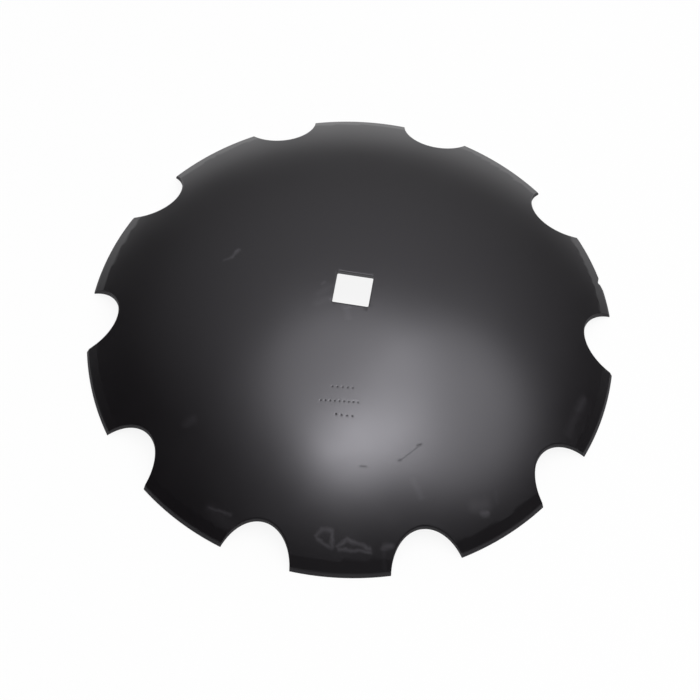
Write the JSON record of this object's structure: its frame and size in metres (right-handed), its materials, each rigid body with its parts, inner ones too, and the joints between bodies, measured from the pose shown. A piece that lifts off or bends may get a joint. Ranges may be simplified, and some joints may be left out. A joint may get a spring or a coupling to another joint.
{
  "type": "harrow disc blade",
  "caption": "Dished steel tillage blade with a notched, bevelled cutting edge and a square axle hole.",
  "frame": {"origin": "on the plane of the cutting edge, below the middle of the square axle hole", "axes": "+Z along the blade's axis, out of the domed side; X and Y square to the sides of the axle hole"},
  "size_m": [0.61, 0.61, 0.1026],
  "materials": {
    "black_paint": "satin black paint on pressed steel plate"
  },
  "bodies": {
    "root": {"disc_blade": "black_paint"}
  },
  "joints": []
}
